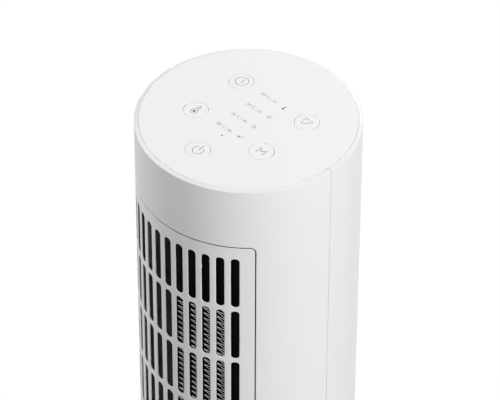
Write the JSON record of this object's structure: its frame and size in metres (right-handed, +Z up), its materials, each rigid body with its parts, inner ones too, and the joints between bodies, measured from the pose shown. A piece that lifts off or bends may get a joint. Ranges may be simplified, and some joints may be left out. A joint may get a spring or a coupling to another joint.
{
  "type": "fan heater",
  "caption": "Tower fan heater: round upright shell with a slotted outlet grille, round keys on top, a cross-flow fan and ceramic heater inside, on a swinging base.",
  "frame": {"origin": "centre of the feet's plane, on the axis of the tower", "axes": "+Z up along the axis of the tower, -Y out through the front grille, +X to the right as seen from the front, looking along +Y"},
  "size_m": [0.191, 0.191, 0.615],
  "materials": {
    "white_shell": "fine satin grain",
    "white_gloss": "smooth semi-gloss",
    "black_plastic": "satin",
    "grey_plastic": "as moulded",
    "cream_plastic": "as moulded, slippery",
    "aluminium": "bare rolled sheet",
    "steel": "zinc plated",
    "cast_iron": "as cast",
    "rubber": "soft matt",
    "circuit_board": "solder mask",
    "clear_lens": "clear moulded",
    "net": "fine net in a frame"
  },
  "bodies": {
    "base": {"base_shell": "white_shell", "base_plate": "grey_plastic", "rubber_foot_1": "rubber", "rubber_foot_2": "rubber", "rubber_foot_3": "rubber", "rubber_foot_4": "rubber", "counterweight": "cast_iron", "cord_gland": "rubber", "swivel_post": "steel", "glide_ring": "cream_plastic", "swing_gear": "cream_plastic", "retaining_ring": "steel"},
    "tower": {"front_housing": "white_shell", "rear_housing": "white_shell", "front_grille": "white_shell", "rear_grille": "white_shell", "dust_filter": "net", "top_panel": "white_gloss", "tower_floor": "grey_plastic", "floor_screw_1": "steel", "floor_screw_2": "steel", "floor_screw_3": "steel", "floor_screw_4": "steel", "outlet_baffle": "black_plastic", "outlet_funnel": "black_plastic", "lower_bulkhead": "black_plastic", "upper_bulkhead": "black_plastic", "volute_wall": "black_plastic", "tongue_wall": "black_plastic", "heater_tubes": "aluminium", "heater_fin_1": "aluminium", "heater_fin_2": "aluminium", "heater_fin_3": "aluminium", "heater_fin_4": "aluminium", "heater_frame_bottom": "black_plastic", "heater_frame_top": "black_plastic", "thermal_cutout": "steel", "heater_lead_1": "rubber", "heater_lead_2": "rubber", "upper_bearing": "cream_plastic", "fan_motor": "steel", "motor_cup": "grey_plastic", "swing_motor": "steel", "key_carrier": "grey_plastic", "control_board": "circuit_board", "control_tray": "grey_plastic", "light_guide": "clear_lens", "power_board": "circuit_board", "board_bracket": "grey_plastic", "panel_cable": "rubber", "tilt_switch": "grey_plastic"},
    "fan_wheel": {"impeller": "black_plastic", "fan_shaft": "steel"},
    "pinion": {"swing_pinion": "cream_plastic"},
    "power_key": {"key_power": "white_gloss"},
    "mode_key": {"key_mode": "white_gloss"},
    "swing_key": {"key_swing": "white_gloss"},
    "temperature_key": {"key_temperature": "white_gloss"},
    "timer_key": {"key_timer": "white_gloss"}
  },
  "joints": [
    {"name": "swing", "type": "hinge", "parent": "base", "child": "tower", "pos_m": [0, 0, 0.036], "axis": [0, 0, 1], "range_deg": [-35, 35]},
    {"name": "impeller_spin", "type": "hinge", "parent": "tower", "child": "fan_wheel", "pos_m": [-0.0034, 0.02, 0.1259], "axis": [0, 0, 1], "continuous": true},
    {"name": "pinion_spin", "type": "hinge", "parent": "tower", "child": "pinion", "pos_m": [0, 0.0405, 0.0443], "axis": [0, 0, 1], "range_deg": [-105, 105]},
    {"name": "power_press", "type": "slide", "parent": "tower", "child": "power_key", "axis": [0, 0, -1], "range_m": [0, 0.0008], "stiffness_N_per_m": 300},
    {"name": "mode_press", "type": "slide", "parent": "tower", "child": "mode_key", "axis": [0, 0, -1], "range_m": [0, 0.0008], "stiffness_N_per_m": 300},
    {"name": "swing_press", "type": "slide", "parent": "tower", "child": "swing_key", "axis": [0, 0, -1], "range_m": [0, 0.0008], "stiffness_N_per_m": 300},
    {"name": "temperature_press", "type": "slide", "parent": "tower", "child": "temperature_key", "axis": [0, 0, -1], "range_m": [0, 0.0008], "stiffness_N_per_m": 300},
    {"name": "timer_press", "type": "slide", "parent": "tower", "child": "timer_key", "axis": [0, 0, -1], "range_m": [0, 0.0008], "stiffness_N_per_m": 300}
  ],
  "couplings": [
    {"joint": "pinion_spin", "follows": "swing", "ratio": 2.8571}
  ]
}
